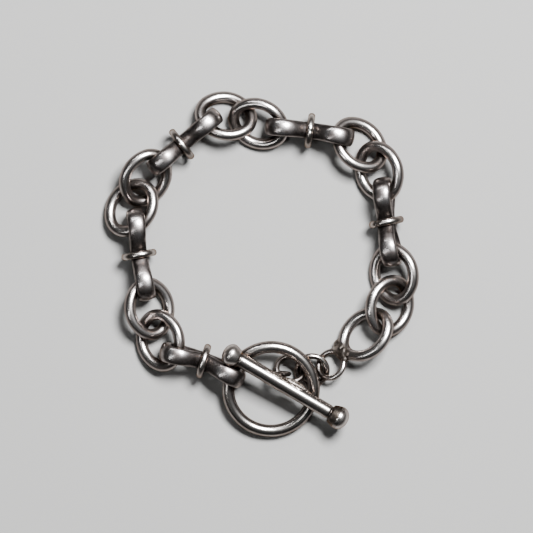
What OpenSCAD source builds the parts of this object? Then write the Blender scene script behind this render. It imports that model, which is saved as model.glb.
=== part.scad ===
/* [Oval links] */
// thickness of the wire of an oval link, mm
oval_wire = 2.66; // [2.3:0.02:2.66]
// radius of the wire's middle line round the ends of an oval link, mm
oval_end_radius = 4.05; // [4:0.05:4.1]

/* [Band links] */
// length of a band link along its own line, mm
band_length = 21.2; // [20.8:0.1:21.3]
// thickness of the strap, mm
strap_thickness = 1.8; // [1.4:0.1:1.8]
// width of the strap at its ends, mm
strap_end_width = 4.2; // [3.6:0.1:4.2]
// width of the strap at its waist, mm
strap_waist_width = 3.6; // [3:0.1:3.6]
// height of the hole at the ends of a band link, mm
band_hole_height = 5.7; // [5.7:0.1:6]
// gap between the two runs of the strap at the waist, mm
band_waist_gap = 1.2; // [0.6:0.1:1.2]
// half of the length in which a bent link bends, mm
bend_half_length = 3; // [2:0.5:4]

/* [Collar rings] */
// radius of the middle line of a collar ring, mm
collar_radius = 3.45; // [3.45:0.05:3.6]
// thickness of the wire of a collar ring, mm
collar_wire = 1.4; // [1:0.1:1.4]

/* [Toggle ring] */
// radius of the middle line of the toggle ring, mm
toggle_ring_radius = 9.97; // [9.9:0.01:10]
// thickness of the wire of the toggle ring, mm
toggle_ring_wire = 2.84; // [2.4:0.02:2.86]

/* [Toggle bar] */
// thickness of the bar, mm
bar_thickness = 3.3; // [2.8:0.1:3.3]
// distance from the middle of one ball to the middle of the other, mm
ball_spacing = 29.2; // [29:0.1:29.6]
// diameter of the ball at the bar's upper end, mm
upper_ball = 4.6; // [3.8:0.1:4.6]
// diameter of the ball at the bar's lower end, mm
lower_ball = 4.9; // [3.9:0.1:4.9]
// length of the flared shoulder beside each ball, mm
shoulder_length = 2.4; // [1:0.1:3]
// diameter of the shoulder where it meets the ball, mm
shoulder_end = 4.3; // [3.4:0.1:4.4]
// radius of the middle line of the soldered loop, mm
loop_radius = 2.2; // [2.2:0.05:2.3]
// thickness of the wire of the soldered loop, mm
loop_wire = 1.2; // [0.8:0.1:1.2]
// thickness of the solder neck between the bar and its loop, mm
loop_neck = 1.5; // [1:0.1:1.6]

/* [Jump rings and end ring] */
// radius of the middle line of the first jump ring, mm
jump_ring_1_radius = 3.5; // [3.45:0.05:3.5]
// radius of the middle line of the second jump ring, mm
jump_ring_2_radius = 3.25; // [3.25:0.01:3.27]
// thickness of the wire of the jump rings, mm
jump_ring_wire = 1.4; // [1:0.1:1.4]
// radius of the middle line of the small ring of the end link, mm
end_ring_radius = 3.25; // [3.25:0.01:3.27]
// thickness of the wire of the small ring of the end link, mm
end_ring_wire = 1.36; // [1:0.02:1.36]
// diameter of the solder that joins the two rings of the end link, mm
solder_size = 2.5; // [2:0.1:2.6]

/* [Hidden] */
// which node is drawn
// how finely round shapes are drawn
$fn = 96;

// shift that puts the middle of the laid bracelet over the origin
centring = [-0.8, -0.4, 0];
// where each band link lies: x and y of its waist, heading, bend in its waist, lean of its top to
// the right, stretch, turn of its collar ring, and how far along the strap that ring sits
band_places = [
    [-13.2, -22.2, -20, -16, 6, 1, 3.5, 0],
    [-28.2, 2.5, 98, -6, 3, 1.03, 2, 0],
    [-17.6, 28.8, 40, 0, 3, 1, -2, -0.9],
    [11.5, 31.4, -8, -6, 0, 1, 0, 0],
    [29.3, 10.1, -83, 5, 10, 1, 4, 0]
];
// where each oval link lies: x and y of its middle, heading, roll of its left side up, and rise of
// its far end; the two links of a pair follow each other
oval_places = [
    [-23.3, -17.4, 104, -29, -3],
    [-25.8, -10, 101, 27, 5],
    [-30, 13.5, 54, -25, 2],
    [-26.7, 20.4, 67, 28, 16],
    [-8, 34.8, -14, -29, 2],
    [-0.4, 33, -23, 29, 2],
    [23.1, 28.1, -46, -30, 0],
    [27.6, 21.9, -70, 32, 4],
    [31.1, -2, -82, 30, -4],
    [30.1, -9.4, -106, -30, 3]
];
// direction in which the toggle ring lies from the end of the first band link that it hangs in, and
// the gap between its wire and the inside of the strap there
toggle_ring_side = -15.32;
toggle_ring_clearance = 0.27;
// how the toggle ring lies: heading, roll, rise, and height off the floor
toggle_ring_rest = [0, 11.5, -2, 0.5];
// where the other rings lie: x and y of the middle, heading, roll, rise, and height off the floor
jump_ring_1_place = [12, -24.4, 0, 19.5, 0, 0];
jump_ring_2_place = [7, -24.1, -18, -30, 0, 0];
end_link_place = [24.5, -16, 217, 34, -11.3];
// where the end link's small ring sits on its oval, and how far it is turned against it
end_ring_seat = [10.8, 1, 0];
end_ring_turn = -4;
// where the solder between them sits
solder_seat = [6.9, 0.4, 0];
// where the toggle bar lies: its middle, heading and rise
bar_place = [5.7, -28, 7.6];
bar_heading = -30.4;
bar_rise = -5.6;
// where the bar's loop sits: along the bar, beside it and below its middle line, and its turn
loop_seat = [-2.2, 1.8, -3.95];
loop_turn = 28;

// how far the middles of an oval link's end arcs lie from its own middle along it, and the middles
// of its side arcs across it; these two in the ratio four to three join without a gap
end_middle = 2;
side_middle = 1.5;

// how many parts each quarter of a strap's run, each of its end bends and its section are cut into
run_parts = 8;
bend_parts = 8;
section_parts = 12;
// how square the bends at a strap's ends are: 1 is round, and less is squarer
end_squareness = 0.82;
// how fast the strap widens towards its ends
widening = 1.15;
// how far the wide end of a shoulder stops short of the ball's middle
shoulder_inset = 0.1;

// wire radii
oval_r = oval_wire / 2;
collar_r = collar_wire / 2;
toggle_r = toggle_ring_wire / 2;
jump_r = jump_ring_wire / 2;
end_r = end_ring_wire / 2;
// radius of an oval link's sides and the angle where they start
oval_side_radius = oval_end_radius + norm([end_middle, side_middle]);
oval_split = atan2(side_middle, end_middle);
// heights of the strap's middle line at its ends and at its waist
end_height = (band_hole_height + strap_thickness) / 2;
waist_height = (band_waist_gap + strap_thickness) / 2;

// point of an oval link's middle line whose outward direction is at an angle
function oval_point(angle) =
    abs(angle) <= oval_split
        ? [end_middle + oval_end_radius * cos(angle), oval_end_radius * sin(angle)]
    : abs(angle) >= 180 - oval_split
        ? [oval_end_radius * cos(angle) - end_middle, oval_end_radius * sin(angle)]
    : [oval_side_radius * cos(angle), oval_side_radius * sin(angle) - sign(angle) * side_middle];

// height that sets a flat loop down on the floor when it is rolled and its far end rises
function rest_height(points, radius, roll, rise) =
    radius - min([for (p = points) p[0] * sin(rise) + p[1] * cos(rise) * sin(roll)]);
function ring_points(radius) = [for (angle = [-180:2.5:177.5]) radius * [cos(angle), sin(angle)]];
oval_points = [for (angle = [-180:2.5:177.5]) oval_point(angle)];

// heading and plan position of a bent link's line, a distance along it from the waist
function bend_turn(along, bend) = bend / 2 * max(-1, min(1, along / bend_half_length));
function bend_point(along, bend) =
    bend == 0 ? [along, 0]
    : let (radius = bend_half_length / (bend / 2 * PI / 180), turn = bend_turn(along, bend),
           rest = along - bend_half_length * max(-1, min(1, along / bend_half_length)))
        [radius * sin(turn) + rest * cos(turn), radius * (1 - cos(turn)) + rest * sin(turn)];

// tip of a band link, seen from above
function band_tip(place) =
    let (tip = bend_point(band_length * place[5] / 2, place[3]))
        [place[0] + tip[0] * cos(place[2]) - tip[1] * sin(place[2]),
         place[1] + tip[0] * sin(place[2]) + tip[1] * cos(place[2])];
// middle of the toggle ring, whose wire hangs in that tip
toggle_ring_reach = toggle_ring_radius - toggle_r - strap_thickness - toggle_ring_clearance;
toggle_ring_middle = band_tip(band_places[0])
    + toggle_ring_reach * [cos(toggle_ring_side), sin(toggle_ring_side)];

// stations of the strap's middle line: distance from the waist, height and slope
function strap_quarter(run) = [
    for (i = [0:run_parts - 1])
        let (wave = 180 * i / run_parts, rise = end_height - waist_height)
            [run * i / run_parts, waist_height + rise * (1 - cos(wave)) / 2,
             atan(rise * PI / 2 / run * sin(wave))],
    for (i = [0:bend_parts])
        let (angle = 90 * i / bend_parts, out = sin(angle), up = cos(angle))
            [run + end_height * pow(out, end_squareness), end_height * pow(up, end_squareness),
             -atan2(pow(out, 2 - end_squareness), pow(up, 2 - end_squareness))]
];
function strap_half(quarter) = concat(
    quarter,
    [for (i = [len(quarter) - 2:-1:1]) [quarter[i][0], -quarter[i][1], -180 - quarter[i][2]]]
);
function strap_stations(half) = concat(half, [[0, -waist_height, -180]],
    [for (i = [1:len(half) - 1]) [-half[i][0], -half[i][1], half[i][2] - 180]]);

// one point of the strap's skin
function strap_skin(station, angle, length, bend) =
    let (width = strap_waist_width + (strap_end_width - strap_waist_width)
             * (1 - cos(180 * min(1, widening * abs(station[0]) / (length / 2)))) / 2,
         side = width / 2 * cos(angle), out = strap_thickness / 2 * sin(angle),
         along = station[0] - out * sin(station[2]), height = station[1] + out * cos(station[2]),
         place = bend_point(along, bend), turn = bend_turn(along, bend))
        [place[0] - side * sin(turn), place[1] + side * cos(turn), height];

function strap_points(stations, length, bend) = [
    for (station = stations, j = [0:section_parts - 1])
        strap_skin(station, 360 * j / section_parts, length, bend)
];

// lowest point of the strap when it leans
function strap_low(points, lean) = min([for (p = points) p[1] * sin(lean) + p[2] * cos(lean)]);

// the two triangles of each cell of the strap's skin
function strap_faces(count) = [
    for (i = [0:count - 1], j = [0:section_parts - 1])
        let (next = (i + 1) % count, side = (j + 1) % section_parts,
             a = i * section_parts + j, b = next * section_parts + j,
             c = next * section_parts + side, d = i * section_parts + side)
            each [[a, b, c], [a, c, d]]
];

module strap(stations, length, bend) {
    polyhedron(strap_points(stations, length, bend), strap_faces(len(stations)));
}

// stations of a whole strap of some length
function stations_of(length) =
    strap_stations(strap_half(strap_quarter(length / 2 - strap_thickness / 2 - end_height)));

// height of a band link's middle above the floor
function band_height(place) =
    let (length = band_length * place[5])
        -strap_low(strap_points(stations_of(length), length, place[3]), place[4]);

module place_band(place) {
    translate(centring + [place[0], place[1], band_height(place)])
        rotate([place[4], 0, place[2]])
            children();
}

module band_link(place) {
    length = band_length * place[5];
    color("silver")
        place_band(place)
            strap(stations_of(length), length, place[3]);
}

module wire_ring(radius, wire_radius) {
    rotate_extrude()
        translate([radius, 0])
            circle(r = wire_radius);
}

module collar_ring(place) {
    color("silver")
        place_band(place)
            translate([place[7], 0, 0])
                rotate([0, 90, place[6]])
                    wire_ring(collar_radius, collar_r);
}

module wire_arc(middle, radius, from, span) {
    translate([middle[0], middle[1], 0])
        rotate_extrude(angle = span, start = from)
            translate([radius, 0])
                circle(r = oval_r);
}

module oval_half() {
    wire_arc([end_middle, 0], oval_end_radius, -oval_split, 2 * oval_split);
    wire_arc([0, -side_middle], oval_side_radius, oval_split, 90 - oval_split);
    wire_arc([0, side_middle], oval_side_radius, 270, 90 - oval_split);
}

module oval_wire_loop() {
    oval_half();
    rotate([0, 0, 180])
        oval_half();
}

module place_flat(place, height) {
    translate(centring + [place[0], place[1], height])
        rotate([place[3], -place[4], place[2]])
            children();
}

module oval_link(place) {
    color("silver")
        place_flat(place, rest_height(oval_points, oval_r, place[3], place[4]))
            oval_wire_loop();
}

module end_link() {
    place = end_link_place;
    color("silver")
        place_flat(place, rest_height(oval_points, oval_r, place[3], place[4])) {
            oval_wire_loop();
            translate(end_ring_seat)
                rotate([end_ring_turn, 0, 0])
                    wire_ring(end_ring_radius, end_r);
            translate(solder_seat)
                sphere(d = solder_size);
        }
}

module loose_ring(place, radius, wire_radius) {
    color("silver")
        place_flat(place, place[5] + rest_height(ring_points(radius), wire_radius, place[3], place[4]))
            wire_ring(radius, wire_radius);
}

module jump_ring_1() {
    loose_ring(jump_ring_1_place, jump_ring_1_radius, jump_r);
}

module jump_ring_2() {
    loose_ring(jump_ring_2_place, jump_ring_2_radius, jump_r);
}

module toggle_ring() {
    loose_ring(concat(toggle_ring_middle, toggle_ring_rest), toggle_ring_radius, toggle_r);
}

module bar_end(ball) {
    shoulder_start = ball_spacing / 2 - shoulder_length - shoulder_inset;
    translate([0, 0, shoulder_start])
        cylinder(h = shoulder_length, d1 = bar_thickness, d2 = shoulder_end);
    translate([0, 0, ball_spacing / 2])
        sphere(d = ball);
}

module toggle_bar() {
    loop_top = loop_seat + [0, 0, loop_radius];
    color("silver")
        translate(centring + bar_place)
            rotate([0, -bar_rise, bar_heading]) {
                rotate([0, 90, 0]) {
                    cylinder(h = ball_spacing, d = bar_thickness, center = true);
                    bar_end(lower_ball);
                }
                rotate([0, -90, 0])
                    bar_end(upper_ball);
                translate(loop_seat)
                    rotate([90, 0, loop_turn])
                        wire_ring(loop_radius, loop_wire / 2);
                translate([loop_top[0], 0, 0])
                    rotate([atan2(loop_top[1], -loop_top[2]), 0, 0])
                        translate([0, 0, -norm([loop_top[1], loop_top[2]])])
                            cylinder(h = norm([loop_top[1], loop_top[2]]), d = loop_neck);
            }
}

band_link(band_places[0]);  // band_link_a
band_link(band_places[1]);  // band_link_b
band_link(band_places[2]);  // band_link_c
band_link(band_places[3]);  // band_link_d
band_link(band_places[4]);  // band_link_e
collar_ring(band_places[0]);  // collar_ring_a
collar_ring(band_places[1]);  // collar_ring_b
collar_ring(band_places[2]);  // collar_ring_c
collar_ring(band_places[3]);  // collar_ring_d
collar_ring(band_places[4]);  // collar_ring_e
oval_link(oval_places[0]);  // oval_link_1a
oval_link(oval_places[1]);  // oval_link_1b
oval_link(oval_places[2]);  // oval_link_2a
oval_link(oval_places[3]);  // oval_link_2b
oval_link(oval_places[4]);  // oval_link_3a
oval_link(oval_places[5]);  // oval_link_3b
oval_link(oval_places[6]);  // oval_link_4a
oval_link(oval_places[7]);  // oval_link_4b
oval_link(oval_places[8]);  // oval_link_5a
oval_link(oval_places[9]);  // oval_link_5b
end_link();
jump_ring_1();
jump_ring_2();
toggle_bar();
toggle_ring();
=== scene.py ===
# %% [markdown]
# # A link bracelet of darkened silver, lying closed
#
# The bracelet is a whole loop: five strap links with a collar round each waist, ten oval links in
# pairs, an end link with a small ring soldered on, two jump rings, and a toggle of a bar and a
# ring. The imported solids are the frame: they give every piece its place. Each piece is then
# grown again with Geometry Nodes, because drawn wire always follows the same rule: a path, and a
# section that is carried along it.

import math
import random

import bmesh
import bpy
from mathutils import Euler, Matrix, Vector
from mathutils.bvhtree import BVHTree


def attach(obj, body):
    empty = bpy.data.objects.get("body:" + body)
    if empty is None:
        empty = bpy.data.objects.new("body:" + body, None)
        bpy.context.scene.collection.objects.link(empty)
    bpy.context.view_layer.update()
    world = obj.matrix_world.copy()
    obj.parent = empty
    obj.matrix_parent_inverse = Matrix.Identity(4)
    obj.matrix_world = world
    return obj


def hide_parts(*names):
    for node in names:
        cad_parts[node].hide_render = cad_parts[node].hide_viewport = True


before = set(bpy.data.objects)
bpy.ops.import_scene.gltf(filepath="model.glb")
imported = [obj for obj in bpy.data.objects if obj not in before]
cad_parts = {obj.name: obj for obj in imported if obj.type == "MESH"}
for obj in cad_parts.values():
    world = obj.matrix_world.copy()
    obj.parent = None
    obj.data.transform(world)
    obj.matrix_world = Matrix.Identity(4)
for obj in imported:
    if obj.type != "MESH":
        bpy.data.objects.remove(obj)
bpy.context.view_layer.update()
MM = 0.001
print("solids in the frame:", len(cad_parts))

# %% [markdown]
# ## The floor, the light and the camera
#
# The photograph looks straight down on the bracelet. A long lens from far above keeps the links
# at the same scale from the middle to the edge, so a millimetre is a millimetre everywhere. A
# large soft box stands above and to the right, where the white streaks on the real wire say that
# the window was. Metal shows what is round it more than its own colour, so two long, weak cards
# give the wire its fine second streaks, and the room itself is almost black.

# %% Camera and floor
VIEW_MIDDLE = Vector((0.62 * MM, -0.63 * MM, 4 * MM))
VIEW_WIDTH = 124 * MM
CAMERA_HEIGHT = 1.5
FLOOR_WIDTH = 6
FLOOR_DROP = 0.02 * MM  # so that the links' lowest points don't share the floor's plane
FLOOR_COLOUR = (0.208, 0.208, 0.205, 1)


def set_camera():
    lens = bpy.data.cameras.new("camera")
    camera = bpy.data.objects.new("camera", lens)
    bpy.context.scene.collection.objects.link(camera)
    camera.location = VIEW_MIDDLE + Vector((0, 0, CAMERA_HEIGHT))
    lens.sensor_width = 36
    lens.lens = lens.sensor_width * CAMERA_HEIGHT / VIEW_WIDTH
    lens.clip_end = 20
    bpy.context.scene.camera = camera
    return camera


def lay_floor():
    bpy.ops.mesh.primitive_plane_add(size=FLOOR_WIDTH, location=(0, 0, -FLOOR_DROP))
    floor = bpy.context.object
    floor.name = "floor"
    paint = bpy.data.materials.new("pale_floor")
    paint.use_nodes = True
    shader = paint.node_tree.nodes["Principled BSDF"]
    shader.inputs["Base Color"].default_value = FLOOR_COLOUR
    shader.inputs["Roughness"].default_value = 0.85
    floor.data.materials.append(paint)


camera = set_camera()
lay_floor()
print("lens", round(camera.data.lens), "mm for a frame of", VIEW_WIDTH, "m")

# %% Lights


def soft_box(name, place, size, power):
    """A rectangle of light that looks at the middle of the bracelet."""
    lamp = bpy.data.lights.new(name, "AREA")
    lamp.shape = "RECTANGLE"
    lamp.size, lamp.size_y = size
    lamp.energy = power
    box = bpy.data.objects.new(name, lamp)
    box.location = place
    box.rotation_euler = (-Vector(place)).to_track_quat("-Z", "Y").to_euler()
    bpy.context.scene.collection.objects.link(box)


def light_room(colour, strength):
    room = bpy.data.worlds.new("room")
    room.use_nodes = True
    glow = room.node_tree.nodes["Background"]
    glow.inputs["Color"].default_value = colour
    glow.inputs["Strength"].default_value = strength
    bpy.context.scene.world = room


light_room((0.96, 0.98, 1.0, 1), strength=0.02)
soft_box("key_box", (0.21, 0.29, 0.69), size=(0.25, 0.21), power=36.0)
soft_box("side_card", (-0.36, -0.20, 0.66), size=(0.05, 0.50), power=1.0)
soft_box("top_card", (-0.12, 0.50, 0.52), size=(0.50, 0.05), power=1.5)

# %% [markdown]
# ## Trees that read like a drawing
#
# A tree of nodes is easier to follow when its sums are short lines. `add` makes any node, `calc`
# makes a sum, and `clamp`, `slow_wave` and `hill` are three rules that come back. `new_tree`
# starts a tree with named inputs, so that a length can be set from outside, as on a drawing's
# dimension line.

# %% Helpers for node trees


def add(tree, kind, inputs=None, **settings):
    node = tree.nodes.new(kind)
    for key, value in settings.items():
        setattr(node, key, value)
    for key, value in (inputs or {}).items():
        feed(tree, node.inputs[key], value)
    return node


def feed(tree, socket, value):
    if isinstance(value, bpy.types.NodeSocket):
        tree.links.new(value, socket)
    else:
        socket.default_value = value


def calc(tree, rule, *values):
    node = tree.nodes.new("ShaderNodeMath")
    node.operation = rule
    for socket, value in zip(node.inputs, values):
        feed(tree, socket, value)
    return node.outputs[0]


def clamp(tree, value, low=0.0, high=1.0):
    return calc(tree, "MINIMUM", calc(tree, "MAXIMUM", value, low), high)


def slow_wave(tree, share):
    """Half a cosine wave: it leaves 0 slowly and comes to 1 slowly."""
    turned = calc(tree, "COSINE", calc(tree, "MULTIPLY", share, math.pi))
    return calc(tree, "MULTIPLY", calc(tree, "SUBTRACT", 1.0, turned), 0.5)


def hill(tree, away):
    """A smooth hill, 1 high at away = 0 and all but flat at away = 2."""
    return calc(tree, "EXPONENT", calc(tree, "MULTIPLY", calc(tree, "MULTIPLY", away, away), -1.0))


def new_tree(name, sizes):
    """A tree with a geometry output, and one named number for each of the sizes."""
    tree = bpy.data.node_groups.new(name, "GeometryNodeTree")
    tree.is_modifier = True
    tree.interface.new_socket("Geometry", in_out="OUTPUT", socket_type="NodeSocketGeometry")
    tree.interface.new_socket("Finish", in_out="INPUT", socket_type="NodeSocketMaterial")
    for size in sizes:
        kind = "NodeSocketInt" if size.endswith("count") else "NodeSocketFloat"
        tree.interface.new_socket(size, in_out="INPUT", socket_type=kind)
    start = tree.nodes.new("NodeGroupInput")
    return tree, {socket.name: socket for socket in start.outputs if socket.name}


def finish_tree(tree, mesh, finish):
    """Every tree ends in the same way: smooth, real faces, and the material."""
    smooth = add(tree, "GeometryNodeSetShadeSmooth", {"Geometry": mesh})
    real = add(tree, "GeometryNodeRealizeInstances", {"Geometry": smooth.outputs[0]})
    painted = add(tree, "GeometryNodeSetMaterial",
                  {"Geometry": real.outputs[0], "Material": finish})
    end = tree.nodes.new("NodeGroupOutput")
    tree.links.new(painted.outputs[0], end.inputs[0])


def place_parts(tree):
    spot = add(tree, "GeometryNodeInputPosition")
    parts = add(tree, "ShaderNodeSeparateXYZ", {0: spot.outputs[0]})
    return parts.outputs[0], parts.outputs[1], parts.outputs[2]


def point(tree, x, y, z):
    return add(tree, "ShaderNodeCombineXYZ", {0: x, 1: y, 2: z}).outputs[0]


def hand_worn(tree, mesh, seed, depth, coarse=0.32, fine=0.9):
    """Lets the skin sink a little by noise, coarse and fine: no filed, tumbled wire is even."""
    skin = add(tree, "GeometryNodeInputNormal")
    total = None
    for scale, share in ((coarse, 0.80), (fine, 0.20)):
        noise = add(tree, "ShaderNodeTexNoise",
                    {"W": seed, "Scale": scale, "Detail": 1.0}, noise_dimensions="4D")
        part = calc(tree, "MULTIPLY", calc(tree, "SUBTRACT", noise.outputs[0], 0.75), share)
        total = part if total is None else calc(tree, "ADD", total, part)
    push = calc(tree, "MULTIPLY", total, depth)
    move = add(tree, "ShaderNodeVectorMath", {0: skin.outputs[0]}, operation="SCALE")
    feed(tree, move.inputs["Scale"], push)
    return add(tree, "GeometryNodeSetPosition",
               {"Geometry": mesh, "Offset": move.outputs[0]}).outputs[0]


print("helpers ready")

# %% [markdown]
# ## Growing a piece
#
# A tree is only a recipe. Here it is hung on an empty object as a modifier, its numbers are set,
# and Blender works out the mesh. That mesh is copied out as a plain one, in metres, and moved to
# its place in the frame, so that the object itself stays at the origin.

# %% Grow a piece from a tree
PIECES = {}
JOIN_DISTANCE = 0.0005  # millimetres


def mesh_from_tree(name, tree, sizes, finish):
    holder = bpy.data.objects.new(name, bpy.data.meshes.new(name + "_seed"))
    bpy.context.scene.collection.objects.link(holder)
    recipe = holder.modifiers.new("recipe", "NODES")
    recipe.node_group = tree
    for item in tree.interface.items_tree:
        if item.item_type == "SOCKET" and item.in_out == "INPUT":
            recipe[item.identifier] = finish if item.name == "Finish" else sizes[item.name]
    ready = holder.evaluated_get(bpy.context.evaluated_depsgraph_get())
    mesh = bpy.data.meshes.new_from_object(ready)
    bpy.data.objects.remove(holder)
    return mesh


def close_skin(mesh):
    """Joins the seam of a swept shape and turns its faces outwards."""
    work = bmesh.new()
    work.from_mesh(mesh)
    bmesh.ops.remove_doubles(work, verts=work.verts, dist=JOIN_DISTANCE)
    bmesh.ops.recalc_face_normals(work, faces=work.faces)
    work.to_mesh(mesh)
    work.free()


def set_down(name, mesh, place, node):
    """Puts a finished mesh (in millimetres) where its solid is, and hands it to the frame."""
    mesh.transform(Matrix.Scale(MM, 4) @ place)
    mesh.name = name
    for face in mesh.polygons:
        face.use_smooth = True
    piece = bpy.data.objects.new(name, mesh)
    bpy.context.scene.collection.objects.link(piece)
    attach(piece, "root")
    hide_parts(node)
    PIECES[name] = piece
    return piece


print("ready to grow pieces")

# %% [markdown]
# ## The finish: silver that has gone dark
#
# Silver sulphide makes a brown to blue-black skin. Hands rub it off where they reach, so the
# crowns of the wire are pale and the tarnish stays in its hollows. Three things add up to the dark
# skin here: a number stored on the mesh that says how enclosed each spot is, which paints both
# that tarnish and the shade between the pieces; a second one that says how far down the flank it
# lies, which paints shade on the flanks under the lit crowns; and noise in the object's own space,
# for the blotches. Fine scratches are the thin middle lines of a stretched noise, and they only
# bend the light, they don't cut the shape. Each kind of piece has its own finish: the straps are
# the dullest and carry a thin film of grease, the balls of the toggle bar are a paler copy with
# less painted shade on their flanks, solder stays rough, and the cone before the right ball is
# darker.

# %% Darkened silver
SILVER_EDGE = (0.50, 0.40, 0.34, 1)  # the skin's colour where the light grazes it
FILM_ROUGHNESS = 0.13
SKIN_ROUGHNESS = 0.13  # how much rougher the darkest skin is than the cleanest spots
# weight of the tarnish and painted shade in the hollows
TARNISH_AND_SHADE_WEIGHT = 2.2
SMALL_WEIGHT = 0.35
TINT_AT = 0.45
LINE_WIDTH = 0.011  # of a scratch, as a part of the noise's range


def blotches(tree, place, scale, detail, low, high, seed):
    noise = add(tree, "ShaderNodeTexNoise",
                {"Vector": place, "W": seed, "Scale": scale, "Detail": detail,
                 "Roughness": 0.6}, noise_dimensions="4D")
    span = add(tree, "ShaderNodeMapRange",
               {"Value": noise.outputs[0], "From Min": low, "From Max": high},
               interpolation_type="SMOOTHSTEP")
    return span.outputs[0]


def scratches(tree, place, turn, stretch, seed):
    """1 on plain skin, and 0 on the middle line of a noise that is stretched along one way."""
    turned = add(tree, "ShaderNodeMapping", {"Vector": place, "Rotation": turn, "Scale": stretch})
    noise = add(tree, "ShaderNodeTexNoise",
                {"Vector": turned.outputs[0], "W": seed, "Scale": 1.0, "Detail": 2.0,
                 "Distortion": 0.6}, noise_dimensions="4D")
    line = calc(tree, "ABSOLUTE", calc(tree, "SUBTRACT", noise.outputs[0], 0.5))
    return add(tree, "ShaderNodeMapRange",
               {"Value": line, "From Min": 0.0, "From Max": LINE_WIDTH}).outputs[0]


def dark_silver(name, bright, dark, tint, rub, sides, rough, relief, seed, film=0.0):
    """One finish: bright on the rubbed crowns, dark in the crevices with tarnish and painted
    shade, painted dark on the flanks, and tint between them.

    rub is how far the hands have cleaned it, sides how much painted shade darkens its flanks,
    rough the roughness of the cleanest spots, relief the depth of its dents and scratches in
    millimetres, and film how much of a thin smooth film of grease and wax lies over a duller skin."""
    finish = bpy.data.materials.new(name)
    finish.use_nodes = True
    tree = finish.node_tree
    shader = tree.nodes["Principled BSDF"]
    place = add(tree, "ShaderNodeTexCoord").outputs["Object"]
    # tarnish plus painted shade where other metal is close, and painted shade on the flanks
    tarnish_and_shade = add(tree, "ShaderNodeAttribute", attribute_name="tarnish_and_shade").outputs["Fac"]
    flank = add(tree, "ShaderNodeAttribute", attribute_name="flank").outputs["Fac"]
    wide = blotches(tree, place, scale=330, detail=3.0, low=0.36, high=0.66, seed=seed)
    small = blotches(tree, place, scale=1500, detail=4.0, low=0.40, high=0.70, seed=seed + 3)
    fine = scratches(tree, place, (0.4, 0.9, 0.5), (900, 9000, 5000), seed + 5)
    cross = scratches(tree, place, (1.1, 0.2, 1.9), (7000, 1200, 6000), seed + 7)
    lines = calc(tree, "MULTIPLY", fine, cross)
    # darkness of the skin: tarnish and painted shade in hollows, painted flank shade, blotches
    skin = calc(tree, "ADD", calc(tree, "MULTIPLY", tarnish_and_shade, TARNISH_AND_SHADE_WEIGHT),
                calc(tree, "MULTIPLY", wide, 1.0 - rub))
    # painted shade on the flanks, weighted by sides
    skin = calc(tree, "MULTIPLY_ADD", flank, sides, skin)
    skin = calc(tree, "ADD", skin, calc(tree, "MULTIPLY", small, SMALL_WEIGHT * (1.0 - rub)))
    skin = calc(tree, "MINIMUM", skin, 1.0)
    ramp = add(tree, "ShaderNodeValToRGB", {"Fac": skin})
    ramp.color_ramp.elements[0].color = (*bright, 1)
    ramp.color_ramp.elements[1].color = (*dark, 1)
    middle = ramp.color_ramp.elements.new(TINT_AT)
    middle.color = (*tint, 1)
    scored = add(tree, "ShaderNodeMix", {"Factor": lines}, data_type="RGBA")
    feed(tree, scored.inputs[6], (*tint, 1))
    feed(tree, scored.inputs[7], ramp.outputs[0])
    tree.links.new(scored.outputs[2], shader.inputs["Base Color"])
    gloss = add(tree, "ShaderNodeMapRange",
                {"Value": skin, "To Min": rough, "To Max": rough + SKIN_ROUGHNESS})
    tree.links.new(gloss.outputs[0], shader.inputs["Roughness"])
    shader.inputs["Metallic"].default_value = 1.0
    shader.inputs["Specular Tint"].default_value = SILVER_EDGE
    shader.inputs["Coat Weight"].default_value = film
    shader.inputs["Coat Roughness"].default_value = FILM_ROUGHNESS
    height = calc(tree, "ADD", calc(tree, "MULTIPLY", lines, 0.10),
                  calc(tree, "MULTIPLY", small, -0.05))
    height = calc(tree, "ADD", height, calc(tree, "MULTIPLY", wide, -0.5))
    bump = add(tree, "ShaderNodeBump", {"Height": height, "Distance": relief * MM,
                                        "Strength": 0.6})
    tree.links.new(bump.outputs[0], shader.inputs["Normal"])
    return finish


LINK_SILVER = dark_silver(
    "link_silver", (0.86, 0.83, 0.81), (0.038, 0.031, 0.026), (0.26, 0.232, 0.222),
    rub=0.86, sides=0.66, rough=0.22, relief=0.012, seed=1)
BAND_SILVER = dark_silver(
    "band_silver", (0.60, 0.58, 0.58), (0.034, 0.028, 0.026), (0.20, 0.178, 0.172),
    rub=0.50, sides=0.62, rough=0.235, relief=0.016, seed=11, film=0.5)
COLLAR_SILVER = dark_silver(
    "collar_silver", (0.84, 0.81, 0.77), (0.038, 0.031, 0.026), (0.28, 0.25, 0.232),
    rub=0.72, sides=0.62, rough=0.21, relief=0.014, seed=21)
CLASP_SILVER = dark_silver(
    "clasp_silver", (0.84, 0.81, 0.78), (0.038, 0.031, 0.027), (0.27, 0.242, 0.228),
    rub=0.76, sides=0.66, rough=0.185, relief=0.012, seed=31)
SOLDER = dark_silver(
    "rough_solder", (0.50, 0.46, 0.43), (0.036, 0.029, 0.024), (0.23, 0.203, 0.185),
    rub=0.10, sides=0.26, rough=0.27, relief=0.12, seed=41)
# a paler copy of the clasp's finish for the balls, with a lighter tint and less painted flank
# shade: painted light
BALL_SILVER = dark_silver(
    "ball_silver", (0.86, 0.83, 0.80), (0.040, 0.033, 0.029), (0.33, 0.30, 0.285),
    rub=0.82, sides=0.52, rough=0.24, relief=0.014, seed=33)
# a darker, rougher finish for the cone before the right ball
DARK_SEAM = dark_silver(
    "dark_seam", (0.33, 0.30, 0.28), (0.030, 0.025, 0.021), (0.13, 0.114, 0.103),
    rub=0.0, sides=0.30, rough=0.24, relief=0.10, seed=43)
print("finishes:", [m.name for m in (LINK_SILVER, BAND_SILVER, COLLAR_SILVER, CLASP_SILVER,
                                     SOLDER, BALL_SILVER, DARK_SEAM)])
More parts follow.
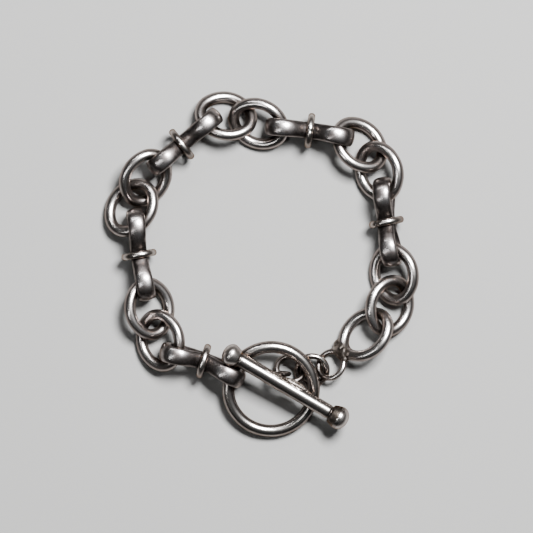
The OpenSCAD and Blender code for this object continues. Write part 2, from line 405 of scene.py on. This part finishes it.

# %% [markdown]
# ## Where every piece lies
#
# This is the same layout as in the part's source, in millimetres and degrees: how each link
# lies on the floor, tipped and leaning on the next one. A link's height isn't chosen.
# It follows from its tilt, because the lowest point of its wire touches the floor. Only the bar
# and the ring of the toggle are given a height, because they lie over other pieces.

# %% The layout
CENTRING = Vector((-0.8, -0.4, 0))
BANDS = {  # x, y, heading, bend, lean, stretch, collar turn, collar shift
    "a": (-13.2, -22.2, -20, -16, 6, 1, 3.5, 0),
    "b": (-28.2, 2.5, 98, -6, 3, 1.03, 2, 0),
    "c": (-17.6, 28.8, 40, 0, 3, 1, -2, -0.9),
    "d": (11.5, 31.4, -8, -6, 0, 1, 0, 0),
    "e": (29.3, 10.1, -83, 5, 10, 1, 4, 0),
}
OVALS = {  # x, y, heading, roll, rise
    "1a": (-23.3, -17.4, 104, -29, -3),
    "1b": (-25.8, -10, 101, 27, 5),
    "2a": (-30, 13.5, 54, -25, 2),
    "2b": (-26.7, 20.4, 67, 28, 16),
    "3a": (-8, 34.8, -14, -29, 2),
    "3b": (-0.4, 33, -23, 29, 2),
    "4a": (23.1, 28.1, -46, -30, 0),
    "4b": (27.6, 21.9, -70, 32, 4),
    "5a": (31.1, -2, -82, 30, -4),
    "5b": (30.1, -9.4, -106, -30, 3),
}
# These four as the ovals: x, y, heading, roll, rise
END_LINK = (24.5, -16, 217, 34, -11.3)
TOGGLE_RING = (2.5, -28.7, 0, 11.5, -2)
JUMP_RING_1 = (12, -24.4, 0, 19.5, 0)
JUMP_RING_2 = (7, -24.1, -18, -30, 0)


def turn(roll, rise, heading):
    return Euler([math.radians(a) for a in (roll, -rise, heading)]).to_matrix().to_4x4()


def lay_flat(place, path, wire, lift=0.0):
    """The matrix of a flat link: turned by its heading, roll and rise, resting on the floor,
    or lifted off it where it lies on other pieces."""
    x, y, heading, roll, rise = place
    tilt = turn(roll, rise, heading)
    low = min((tilt @ Vector(p)).z for p in path)
    return Matrix.Translation(CENTRING + Vector((x, y, wire - low + lift))) @ tilt


print("strap links:", len(BANDS), " ovals:", len(OVALS))

# %% [markdown]
# ## Oval links
#
# Each is a length of round silver rod, bent over an oval former and soldered shut. The path is
# four arcs that run into each other, so the curve has no corner: two tight ones at the ends and
# two wide ones along the sides. The tree starts from a plain circle of points. Each point's
# direction says which arc it belongs to, and the point is moved onto that arc.

# %% A tree for the oval link
OVAL = {"Wire radius": 1.33, "End radius": 4.05, "End middle": 2.0, "Side middle": 1.5}
OVAL["Side radius"] = OVAL["End radius"] + math.hypot(OVAL["End middle"], OVAL["Side middle"])


def oval_tree():
    tree, size = new_tree("bent_oval_link", [*OVAL, "Seed", "Wear"])
    circle = add(tree, "GeometryNodeCurvePrimitiveCircle", {"Resolution": 144, "Radius": 1.0})
    x, y, _ = place_parts(tree)
    split = calc(tree, "DIVIDE", size["End middle"],
                 calc(tree, "SUBTRACT", size["Side radius"], size["End radius"]))
    at_end = calc(tree, "GREATER_THAN", calc(tree, "ABSOLUTE", x), split)
    at_side = calc(tree, "SUBTRACT", 1.0, at_end)
    radius = calc(tree, "ADD", calc(tree, "MULTIPLY", size["End radius"], at_end),
                  calc(tree, "MULTIPLY", size["Side radius"], at_side))
    along = calc(tree, "MULTIPLY", calc(tree, "MULTIPLY", size["End middle"], at_end),
                 calc(tree, "SIGN", x))
    across = calc(tree, "MULTIPLY", calc(tree, "MULTIPLY", size["Side middle"], at_side),
                  calc(tree, "SIGN", y))
    bent = add(tree, "GeometryNodeSetPosition", {
        "Geometry": circle.outputs[0],
        "Position": point(tree, calc(tree, "MULTIPLY_ADD", x, radius, along),
                          calc(tree, "SUBTRACT", calc(tree, "MULTIPLY", y, radius), across),
                          0.0)})
    section = add(tree, "GeometryNodeCurvePrimitiveCircle",
                  {"Resolution": 32, "Radius": size["Wire radius"]})
    wire = add(tree, "GeometryNodeCurveToMesh",
               {"Curve": bent.outputs[0], "Profile Curve": section.outputs[0]})
    finish_tree(tree, hand_worn(tree, wire.outputs[0], size["Seed"], size["Wear"]),
                size["Finish"])
    return tree


def oval_path(steps=144):
    """The same four arcs as points, to find how high a tilted link lies."""
    split = math.atan2(OVAL["Side middle"], OVAL["End middle"])
    points = []
    for i in range(steps):
        a = 2 * math.pi * i / steps
        x, y = math.cos(a), math.sin(a)
        end = abs(x) > math.cos(split)
        r = OVAL["End radius"] if end else OVAL["Side radius"]
        points.append((x * r + math.copysign(OVAL["End middle"], x) * end,
                       y * r - math.copysign(OVAL["Side middle"], y) * (not end), 0))
    return points


OVAL_TREE = oval_tree()
for number, (key, place) in enumerate(OVALS.items()):
    mesh = mesh_from_tree("wire_oval_" + key, OVAL_TREE,
                          {**OVAL, "Seed": 3.7 * number, "Wear": 0.10}, LINK_SILVER)
    close_skin(mesh)
    piece = set_down("wire_oval_" + key, mesh, lay_flat(place, oval_path(), OVAL["Wire radius"]),
                     "oval_link_" + key)
print("oval links:", len(OVALS), "faces each:", len(piece.data.polygons))

# %% [markdown]
# ## Strap links
#
# A strap of silver with rounded faces is bent into a long loop that stands on edge, and
# pinched at its waist. The rule is drawn for one quarter: a slow wave from the waist out to the
# eye, then a slightly squared quarter circle round the end. The circle's own points give the
# sign of each quarter. The section is carried along the path flat, then the shape is stood up,
# narrowed at the waist, and bent a little sideways, as the real links are.

# %% A tree for the strap link
STRAP = {"Length": 21.2, "Thickness": 1.8, "End width": 4.2, "Waist width": 3.8,
         "Eye height": 3.75, "Waist height": 1.5, "Bend half": 3.0, "Squareness": 0.82}
WIDE_EARLY = 1.15  # the strap has its full width a little before its end
ALMOST_STRAIGHT = 0.0001  # radians, so that a strap without a bend doesn't divide by zero


def strap_tree():
    tree, size = new_tree("pinched_strap_link", [*STRAP, "Bend", "Seed", "Wear"])
    circle = add(tree, "GeometryNodeCurvePrimitiveCircle", {"Resolution": 176, "Radius": 1.0})
    x, y, _ = place_parts(tree)
    angle = calc(tree, "ARCTAN2", calc(tree, "ABSOLUTE", x), calc(tree, "ABSOLUTE", y))
    step = calc(tree, "DIVIDE", angle, math.pi / 4)
    along = calc(tree, "MINIMUM", step, 1.0)
    round_end = calc(tree, "MULTIPLY", calc(tree, "SUBTRACT", calc(tree, "MAXIMUM", step, 1.0),
                                            1.0), math.pi / 2)
    half = calc(tree, "MULTIPLY", size["Length"], 0.5)
    run = calc(tree, "SUBTRACT", calc(tree, "SUBTRACT", half, size["Eye height"]),
               calc(tree, "MULTIPLY", size["Thickness"], 0.5))
    rise = calc(tree, "MULTIPLY_ADD", calc(tree, "SUBTRACT", size["Eye height"],
                                           size["Waist height"]),
                slow_wave(tree, along), size["Waist height"])
    out = calc(tree, "ADD", calc(tree, "MULTIPLY", run, along),
               calc(tree, "MULTIPLY", size["Eye height"], calc(
                   tree, "POWER", calc(tree, "SINE", round_end), size["Squareness"])))
    up = calc(tree, "MULTIPLY", rise, calc(
        tree, "POWER", calc(tree, "MAXIMUM", calc(tree, "COSINE", round_end), 0.0),
        size["Squareness"]))
    path = add(tree, "GeometryNodeSetPosition", {
        "Geometry": circle.outputs[0],
        "Position": point(tree, calc(tree, "MULTIPLY", out, calc(tree, "SIGN", x)),
                          calc(tree, "MULTIPLY", up, calc(tree, "SIGN", y)), 0.0)})
    section = add(tree, "GeometryNodeCurvePrimitiveCircle", {"Resolution": 40, "Radius": 0.5})
    shaped = add(tree, "GeometryNodeTransform", {
        "Geometry": section.outputs[0],
        "Scale": point(tree, size["Thickness"], size["End width"], 1.0)})
    swept = add(tree, "GeometryNodeCurveToMesh",
                {"Curve": path.outputs[0], "Profile Curve": shaped.outputs[0]})
    sx, sy, sz = place_parts(tree)
    far = calc(tree, "MINIMUM", calc(tree, "MULTIPLY", calc(
        tree, "DIVIDE", calc(tree, "ABSOLUTE", sx), half), WIDE_EARLY), 1.0)
    width = calc(tree, "MULTIPLY_ADD", calc(tree, "SUBTRACT", size["End width"],
                                            size["Waist width"]),
                 slow_wave(tree, far), size["Waist width"])
    share = calc(tree, "DIVIDE", width, size["End width"])
    side = calc(tree, "MULTIPLY", calc(tree, "MULTIPLY", sz, share), -1.0)
    stood = add(tree, "GeometryNodeSetPosition",
                {"Geometry": swept.outputs[0], "Position": point(tree, sx, side, sy)})
    bx, by, bz = place_parts(tree)
    middle = clamp(tree, calc(tree, "DIVIDE", bx, size["Bend half"]), -1.0, 1.0)
    turned = calc(tree, "MULTIPLY_ADD", size["Bend"], math.radians(0.5), ALMOST_STRAIGHT)
    swing = calc(tree, "MULTIPLY", middle, turned)
    curve = calc(tree, "DIVIDE", size["Bend half"], turned)
    rest = calc(tree, "SUBTRACT", bx, calc(tree, "MULTIPLY", middle, size["Bend half"]))
    sine, cosine = calc(tree, "SINE", swing), calc(tree, "COSINE", swing)
    plan_x = calc(tree, "ADD", calc(tree, "MULTIPLY", curve, sine),
                  calc(tree, "MULTIPLY", rest, cosine))
    plan_y = calc(tree, "ADD", calc(tree, "MULTIPLY", curve, calc(
        tree, "SUBTRACT", 1.0, cosine)), calc(tree, "MULTIPLY", rest, sine))
    bent = add(tree, "GeometryNodeSetPosition", {
        "Geometry": stood.outputs[0],
        "Position": point(tree, calc(tree, "SUBTRACT", plan_x, calc(tree, "MULTIPLY", by, sine)),
                          calc(tree, "ADD", plan_y, calc(tree, "MULTIPLY", by, cosine)), bz)})
    finish_tree(tree, hand_worn(tree, bent.outputs[0], size["Seed"], size["Wear"]),
                size["Finish"])
    return tree


STRAP_TREE = strap_tree()
BAND_PLACES = {}
for number, (key, place) in enumerate(BANDS.items()):
    x, y, heading, bend, lean, stretch = place[:6]
    sizes = {**STRAP, "Length": STRAP["Length"] * stretch, "Bend": bend,
             "Seed": 5.3 * number, "Wear": 0.12}
    mesh = mesh_from_tree("strap_" + key, STRAP_TREE, sizes, BAND_SILVER)
    close_skin(mesh)
    tilt = turn(lean, 0, heading)
    low = min((tilt @ v.co).z for v in mesh.vertices)
    BAND_PLACES[key] = Matrix.Translation(CENTRING + Vector((x, y, -low))) @ tilt
    piece = set_down("strap_" + key, mesh, BAND_PLACES[key], "band_link_" + key)
print("strap links:", len(BANDS), "faces each:", len(piece.data.polygons))

# %% [markdown]
# ## Round rings: collars, jump rings and the toggle ring
#
# All are round wire bent to a circle and soldered. One tree serves them all, with the ring's
# radius and the wire's radius as its inputs. The seam is a small hill or dip of the wire at one
# angle, with its width and height as inputs. The collars were squeezed shut, so theirs is a dip,
# and on two of them it shows on top. A collar is also a little flattened, wider along the strap
# than it is thick.

# %% A tree for a soldered ring
SEAM_WIDTH = 0.09  # radians


def ring_tree():
    tree, size = new_tree("soldered_wire_ring",
                          ["Ring radius", "Wire radius", "Flatness", "Seam angle", "Seam height",
                           "Seam width", "Ring count", "Wire count", "Seed", "Wear"])
    circle = add(tree, "GeometryNodeCurvePrimitiveCircle",
                 {"Resolution": size["Ring count"], "Radius": size["Ring radius"]})
    section = add(tree, "GeometryNodeCurvePrimitiveCircle",
                  {"Resolution": size["Wire count"], "Radius": size["Wire radius"]})
    x, y, _ = place_parts(tree)
    angle = calc(tree, "SUBTRACT", calc(tree, "ARCTAN2", y, x), calc(
        tree, "RADIANS", size["Seam angle"]))
    away = calc(tree, "ABSOLUTE", calc(tree, "WRAP", angle, math.pi, -math.pi))
    seam = hill(tree, calc(tree, "DIVIDE", away, size["Seam width"]))
    swell = calc(tree, "MULTIPLY_ADD", seam, size["Seam height"], 1.0)
    wire = add(tree, "GeometryNodeCurveToMesh",
               {"Curve": circle.outputs[0], "Profile Curve": section.outputs[0],
                "Scale": swell})
    flattened = add(tree, "GeometryNodeTransform", {
        "Geometry": wire.outputs[0], "Scale": point(tree, 1.0, 1.0, size["Flatness"])})
    finish_tree(tree, hand_worn(tree, flattened.outputs[0], size["Seed"], size["Wear"],
                                coarse=0.4, fine=1.2), size["Finish"])
    return tree


def ring_path(radius, steps=96):
    return [(radius * math.cos(2 * math.pi * i / steps),
             radius * math.sin(2 * math.pi * i / steps), 0) for i in range(steps)]


RING_TREE = ring_tree()


def ring_mesh(name, radius, wire, finish, seed, wear=0.06, seam=(0, 0.0), count=96, flat=1.0):
    """seam is its angle in degrees and its height as a share of the wire's radius."""
    sizes = {"Ring radius": radius, "Wire radius": wire, "Flatness": flat,
             "Seam angle": seam[0], "Seam height": seam[1], "Seam width": SEAM_WIDTH,
             "Ring count": count, "Wire count": 24, "Seed": seed, "Wear": wear}
    mesh = mesh_from_tree(name, RING_TREE, sizes, finish)
    close_skin(mesh)
    return mesh


# %% Collars round the waists
COLLAR_WIRE, COLLAR_RADIUS, COLLAR_FLATNESS = 0.7, 3.45, 1.18
OTHER_RADIUS = {"c": 3.6}
HIDDEN_SEAM, TOP_SEAMS = (20, -0.08), {"d": (183, -0.18), "e": (207, -0.18)}
for number, (key, place) in enumerate(BANDS.items()):
    mesh = ring_mesh("collar_" + key, OTHER_RADIUS.get(key, COLLAR_RADIUS), COLLAR_WIRE,
                     COLLAR_SILVER, 2.9 * number, wear=0.08,
                     seam=TOP_SEAMS.get(key, HIDDEN_SEAM), count=160, flat=COLLAR_FLATNESS)
    collar_turn, collar_shift = place[6:]
    stand = Matrix.Translation((collar_shift, 0, 0)) @ turn(0, -90, collar_turn)
    piece = set_down("collar_" + key, mesh, BAND_PLACES[key] @ stand, "collar_ring_" + key)
print("collars:", len(BANDS), "faces each:", len(piece.data.polygons))

# %% The clasp's rings
for name, node, place, radius, wire, lift, seed, count in (
        ("clasp_ring", "toggle_ring", TOGGLE_RING, 9.97, 1.42, 0.5, 41, 160),
        ("loose_ring_1", "jump_ring_1", JUMP_RING_1, 3.5, 0.7, 0.0, 43, 72),
        ("loose_ring_2", "jump_ring_2", JUMP_RING_2, 3.25, 0.7, 0.0, 47, 72)):
    mesh = ring_mesh(name, radius, wire, CLASP_SILVER, seed, count=count)
    set_down(name, mesh, lay_flat(place, ring_path(radius), wire, lift), node)
print("clasp rings:", [n for n in PIECES if "ring" in n])

# %% [markdown]
# ## The end link
#
# A heavy oval with a small ring soldered to its end. Silver solder runs into the corner between
# the two and sets in a web. Here the oval, the ring and a handful of lumps of solder are joined
# first, and then a voxel remesh melts them into one skin, which rounds the inside corners just
# as the solder did. The faces near the lumps get the solder's finish.

# %% Melt pieces together


def melt(name, meshes, voxel, smooth):
    """Joins meshes in millimetres and remeshes them into one skin."""
    work = bmesh.new()
    for mesh in meshes:
        work.from_mesh(mesh)
    joined = bpy.data.meshes.new(name)
    work.to_mesh(joined)
    work.free()
    holder = bpy.data.objects.new(name, joined)
    bpy.context.scene.collection.objects.link(holder)
    remesh = holder.modifiers.new("melt", "REMESH")
    remesh.mode = "VOXEL"
    remesh.voxel_size = voxel
    even = holder.modifiers.new("even", "SMOOTH")
    even.factor, even.iterations = 0.5, smooth
    ready = holder.evaluated_get(bpy.context.evaluated_depsgraph_get())
    mesh = bpy.data.meshes.new_from_object(ready)
    bpy.data.objects.remove(holder)
    return mesh


def solder_lump(place, radius, seed, rough, squash=(1, 1, 1)):
    """A small uneven blob, which the remesh melts into its neighbours."""
    chance = random.Random(seed)
    work = bmesh.new()
    bmesh.ops.create_icosphere(work, subdivisions=3, radius=radius)
    for vert in work.verts:
        swell = 1 + chance.uniform(-rough, rough)
        vert.co = Vector((vert.co.x * squash[0], vert.co.y * squash[1],
                          vert.co.z * squash[2])) * swell + Vector(place)
    mesh = bpy.data.meshes.new("lump")
    work.to_mesh(mesh)
    work.free()
    return mesh


def paint_spots(mesh, main, *coats):
    """Paints a mesh with its main finish. Each coat is a finish and a list of balls
    (x, y, z, radius): the faces that lie in one of the balls get that finish."""
    mesh.materials.clear()
    for finish in (main, *[coat[0] for coat in coats]):
        mesh.materials.append(finish)
    for face in mesh.polygons:
        face.material_index = 0
        for number, (_, spots) in enumerate(coats, 1):
            if any((face.center - Vector(s[:3])).length < s[3] for s in spots):
                face.material_index = number


# %% The end link
EYE_SEAT = Vector((10.8, 1, 0))
oval = mesh_from_tree("end_oval", OVAL_TREE, {**OVAL, "Seed": 61.0, "Wear": 0.10}, LINK_SILVER)
eye = ring_mesh("end_eye", 3.25, 0.68, LINK_SILVER, 63, wear=0.05)
eye.transform(Matrix.Translation(EYE_SEAT) @ turn(-4, 0, 0))
close_skin(oval)
# x, y, z and radius of each lump, in the link's own millimetres
SOLDER_SPOTS = [(7.7, -1.8, 0.0, 1.0), (7.3, -1.0, 0.0, 1.4), (6.8, -2.2, 0.1, 1.3),
                (7.4, 0.0, 0.0, 1.4), (7.3, 0.9, 0.0, 1.3), (6.7, -0.6, 0.3, 1.5),
                (6.5, 0.6, 0.4, 1.4), (7.0, 1.8, 0.1, 1.1), (5.9, 1.9, 0.9, 0.75)]
lumps = [solder_lump(spot[:3], spot[3], 5 + i, rough=0.03, squash=(1, 1, 0.80))
         for i, spot in enumerate(SOLDER_SPOTS)]
mesh = melt("end_link_silver", [oval, eye, *lumps], voxel=0.12, smooth=14)
paint_spots(mesh, LINK_SILVER, (SOLDER, [(*s[:3], s[3] + 0.1) for s in SOLDER_SPOTS]))
set_down("end_link_silver", mesh, lay_flat(END_LINK, oval_path(), OVAL["Wire radius"]),
         "end_link")
print("end link faces:", len(mesh.polygons))

# %% [markdown]
# ## The toggle bar
#
# A turned bar with a flattened ball at each end. Its profile is a rule along a line. Each ball is
# round outside and a low cone towards the bar. The bar swells to a shoulder as it comes near,
# with a fine groove between the two. Where the rules meet, the larger radius counts, and the
# tree scales a round section by that number. Under the bar hangs a small loop on a neck. Its
# solder has run up the flank as a flat pad, and over the top as a slanting row of little beads.
# All are melted together like the end link. The beads and the pad's edge get the solder's
# finish, the balls a paler copy of the clasp's finish with less painted shade on their flanks,
# and the cone before the right ball a darker, rougher finish.

# %% A tree for the turned bar
# Groove is a depth and Shoulder a length. Of each ball: its radius, the radius at its back, half
# of its length, and the radius that the bar swells to before it.
BAR = {"Ball spacing": 29.2, "Bar radius": 1.7, "Groove": 0.2, "Shoulder": 3.0}
HEADS = {"Left": {"ball": 2.60, "back": 1.97, "length": 1.95, "shoulder": 1.9},
         "Right": {"ball": 2.75, "back": 2.05, "length": 2.25, "shoulder": 1.76}}
GROOVE_OFFSET, GROOVE_WIDTH = 0.2, 0.25
CONE_POWER = 1.5
for side, sizes in HEADS.items():
    BAR.update({side + " " + size: value for size, value in sizes.items()})


def head_profile(tree, size, side, out):
    """Radius of a flattened ball, round outside and a low cone towards the bar. out is the
    distance outwards from the ball's middle, here and in the next rule."""
    ball, long = size[side + " ball"], size[side + " length"]
    share = calc(tree, "DIVIDE", out, long)
    cap = calc(tree, "MULTIPLY", ball, calc(tree, "SQRT", calc(tree, "MAXIMUM", calc(
        tree, "SUBTRACT", 1.0, calc(tree, "MULTIPLY", share, share)), 0.0)))
    inward = clamp(tree, calc(tree, "MULTIPLY", share, -1.0))
    cone = calc(tree, "SUBTRACT", ball, calc(tree, "MULTIPLY", calc(
        tree, "SUBTRACT", ball, size[side + " back"]), calc(tree, "POWER", inward, CONE_POWER)))
    outside = calc(tree, "GREATER_THAN", out, 0.0)
    back = calc(tree, "MULTIPLY", calc(tree, "SUBTRACT", 1.0, outside),
                calc(tree, "GREATER_THAN", share, -1.0))
    return calc(tree, "ADD", calc(tree, "MULTIPLY", cap, outside),
                calc(tree, "MULTIPLY", cone, back))


def shoulder_profile(tree, size, side, out):
    """Radius of the bar, which swells towards the ball and has a groove beside it."""
    flare = clamp(tree, calc(tree, "ADD", calc(tree, "DIVIDE", out, size["Shoulder"]), 1.0))
    swell = calc(tree, "MULTIPLY_ADD", calc(
        tree, "SUBTRACT", size[side + " shoulder"], size["Bar radius"]), flare,
        size["Bar radius"])
    away = calc(tree, "ADD", calc(tree, "ADD", out, size[side + " length"]), GROOVE_OFFSET)
    dip = hill(tree, calc(tree, "DIVIDE", away, GROOVE_WIDTH))
    bar = calc(tree, "SUBTRACT", swell, calc(tree, "MULTIPLY", dip, size["Groove"]))
    return calc(tree, "MULTIPLY", bar, calc(tree, "LESS_THAN", out, 0.0))


def bar_tree():
    tree, size = new_tree("turned_toggle_bar", [*BAR])
    half = calc(tree, "MULTIPLY", size["Ball spacing"], 0.5)
    left = calc(tree, "MULTIPLY", calc(tree, "ADD", half, size["Left length"]), -1.0)
    right = calc(tree, "ADD", half, size["Right length"])
    line = add(tree, "GeometryNodeCurvePrimitiveLine",
               {"Start": point(tree, left, 0.0, 0.0), "End": point(tree, right, 0.0, 0.0)})
    fine = add(tree, "GeometryNodeResampleCurve", {"Curve": line.outputs[0], "Count": 320})
    x, _, _ = place_parts(tree)
    profile = None
    for sign, side in ((-1.0, "Left"), (1.0, "Right")):
        along = calc(tree, "MULTIPLY", x, sign)
        out = calc(tree, "SUBTRACT", along, half)
        shaped = calc(tree, "MAXIMUM", head_profile(tree, size, side, out),
                      shoulder_profile(tree, size, side, out))
        part = calc(tree, "MULTIPLY", shaped, calc(tree, "GREATER_THAN", along, 0.0))
        profile = part if profile is None else calc(tree, "ADD", profile, part)
    section = add(tree, "GeometryNodeCurvePrimitiveCircle", {"Resolution": 48, "Radius": 1.0})
    bar = add(tree, "GeometryNodeCurveToMesh",
              {"Curve": fine.outputs[0], "Profile Curve": section.outputs[0],
               "Scale": calc(tree, "MAXIMUM", profile, 0.01), "Fill Caps": True})
    finish_tree(tree, bar.outputs[0], size["Finish"])
    return tree


def bead_tree():
    """A row of beads that runs slantwise over a round bar."""
    tree, size = new_tree("solder_beads", ["Start", "End", "Start side", "End side",
                                           "Bar radius", "Bead count", "Bead radius"])
    line = add(tree, "GeometryNodeCurvePrimitiveLine",
               {"Start": point(tree, size["Start"], size["Start side"], 0.0),
                "End": point(tree, size["End"], size["End side"], 0.0)})
    spots = add(tree, "GeometryNodeCurveToPoints",
                {"Curve": line.outputs[0], "Count": size["Bead count"]}, mode="COUNT")
    bead = add(tree, "GeometryNodeMeshIcoSphere",
               {"Radius": size["Bead radius"], "Subdivisions": 2})
    spread = add(tree, "FunctionNodeRandomValue",
                 {"Min": (-0.10, -0.28, 0.0), "Max": (0.10, 0.28, 0.0), "Seed": 4},
                 data_type="FLOAT_VECTOR")
    shaken = add(tree, "GeometryNodeSetPosition",
                 {"Geometry": spots.outputs[0], "Offset": spread.outputs[0]})
    # inputs 2 and 3 are the least and the most of a single number
    grow = add(tree, "FunctionNodeRandomValue", {2: 0.65, 3: 1.15, "Seed": 9},
               data_type="FLOAT")
    x, y, _ = place_parts(tree)
    lift = calc(tree, "SQRT", calc(tree, "MAXIMUM", calc(
        tree, "SUBTRACT", calc(tree, "MULTIPLY", size["Bar radius"], size["Bar radius"]),
        calc(tree, "MULTIPLY", y, y)), 0.05))
    laid = add(tree, "GeometryNodeSetPosition",
               {"Geometry": shaken.outputs[0], "Position": point(tree, x, y, lift)})
    beads = add(tree, "GeometryNodeInstanceOnPoints",
                {"Points": laid.outputs[0], "Instance": bead.outputs[0],
                 "Scale": grow.outputs[1]})
    finish_tree(tree, beads.outputs[0], size["Finish"])
    return tree


# %% Melt the toggle bar
bar = mesh_from_tree("bar", bar_tree(), BAR, CLASP_SILVER)
close_skin(bar)
BEADS = {"Start": -5.6, "End": 3.4, "Start side": 0.95, "End side": 1.25, "Bar radius": 1.66,
         "Bead count": 64, "Bead radius": 0.20}
beads = mesh_from_tree("beads", bead_tree(), BEADS, CLASP_SILVER)
LOOP_SEAT = Vector((-2.2, 1.8, -3.95))
LOOP_RADIUS = 2.2
loop = ring_mesh("bar_loop", LOOP_RADIUS, 0.6, CLASP_SILVER, 71, wear=0.04)
loop.transform(Matrix.Translation(LOOP_SEAT) @ turn(90, 0, 28))
neck_top = LOOP_SEAT + Vector((0, 0, LOOP_RADIUS))
neck = [solder_lump(Vector((neck_top.x, neck_top.y * t, neck_top.z * t)), 0.8, 80 + i,
                    rough=0.05) for i, t in enumerate((0.3, 0.5, 0.7, 0.9))]
pad = solder_lump((2.1, 1.28, -0.2), 1.15, 90, rough=0.03, squash=(3.1, 1, 1.1))
mesh = melt("clasp_bar", [bar, beads, loop, pad, *neck], voxel=0.11, smooth=1)


def bead_spots(steps=32):
    """Places along the row of beads, which are painted as solder."""
    spots = []
    for i in range(steps):
        part = i / (steps - 1)
        x = BEADS["Start"] + (BEADS["End"] - BEADS["Start"]) * part
        y = BEADS["Start side"] + (BEADS["End side"] - BEADS["Start side"]) * part
        spots.append((x, y, math.sqrt(BEADS["Bar radius"] ** 2 - y * y), 0.52))
    return spots


# x, y, z and radius of the balls to paint, in the bar's own millimetres
PAD_EDGE = [(0.4 + 0.6 * i, 2.0, 0.3, 1.05) for i in range(6)]
# the balls take the paler finish, which is painted light
BALLS = [(-14.7, 0, 0, 2.75), (15.4, 0, 0, 2.75)]
# the cone before the right ball, which takes the darker finish
RIGHT_SEAM = [(13.25, y, z, 0.9) for y, z, _ in ring_path(2.35, 20)]
paint_spots(mesh, CLASP_SILVER, (SOLDER, PAD_EDGE + bead_spots()), (BALL_SILVER, BALLS),
            (DARK_SEAM, RIGHT_SEAM))
BAR_PLACE = Matrix.Translation(CENTRING + Vector((5.7, -28, 7.6))) @ turn(0, -5.6, -30.4)
set_down("clasp_bar", mesh, BAR_PLACE, "toggle_bar")
print("toggle bar faces:", len(mesh.polygons))

# %% [markdown]
# ## How enclosed each spot is: tarnish and painted shade
#
# Tarnish stays where cloth and fingers don't reach, and shade falls in the same places. A few
# short rays from each point of the skin say how much of the space round it is filled by other
# metal. The share is stored on the mesh as one number, which the finish reads, so it paints both
# the tarnish in the hollows and the shade between the pieces into the skin. A second number,
# `flank`, is painted shade by how far a point faces sideways: the tops stay pale, the flanks under
# them are painted dark, and a belt near a link's outermost line gets only half that shade, which
# paints a light rim.

# %% Store how enclosed each point is, as tarnish and painted shade
RAYS = 10
REACH = 3.2 * MM
LIFT_OFF = 0.03 * MM
GOLDEN_ANGLE = 2.39996  # radians


def ray_fan(count):
    """Directions over a dome, closer together near its top."""
    fan = []
    for i in range(count):
        up = 1 - 0.85 * (i + 0.5) / count
        out, a = math.sqrt(1 - up * up), i * GOLDEN_ANGLE
        fan.append(Vector((out * math.cos(a), out * math.sin(a), up)))
    return fan


def share_of(value):
    return min(1.0, max(0.0, value))


def painted_flank_shade(lift):
    """Painted shade on a flank: 0 where the skin faces up or down (lift, the normal's z, is 1 or
    -1), 1 a little further down the side and on the outermost line itself, and half of that in the
    belt between, which leaves a lighter painted rim."""
    side = share_of((0.93 - abs(lift)) / 0.15)
    belt = share_of((0.70 - abs(lift)) / 0.16) * share_of(abs(lift) / 0.35)
    return side * side * (3 - 2 * side) * (1 - 0.50 * belt)


def mark_tarnish_and_shade(pieces, count):
    spots, faces = [], []
    for piece in pieces:
        first = len(spots)
        spots.extend(v.co for v in piece.data.vertices)
        faces.extend([first + i for i in f.vertices] for f in piece.data.polygons)
    skin = BVHTree.FromPolygons(spots, faces)
    fan = ray_fan(count)
    for piece in pieces:
        shares = []
        for vert in piece.data.vertices:
            turned = vert.normal.to_track_quat("Z", "Y").to_matrix()
            start = vert.co + vert.normal * LIFT_OFF
            blocked = 0.0
            for ray in fan:
                gap = skin.ray_cast(start, turned @ ray, REACH)[3]
                if gap is not None:
                    blocked += 1 - gap / REACH
            shares.append(blocked / count)
        # tarnish and painted shade in the hollows, one number for each point
        store = piece.data.attributes.new("tarnish_and_shade", "FLOAT", "POINT")
        store.data.foreach_set("value", shares)
        # painted shade on the flanks, by how far each point faces sideways
        store = piece.data.attributes.new("flank", "FLOAT", "POINT")
        store.data.foreach_set("value", [painted_flank_shade(v.normal.z) for v in piece.data.vertices])
        print(piece.name, "mean hidden", round(sum(shares) / len(shares), 2))


mark_tarnish_and_shade(list(PIECES.values()), RAYS)
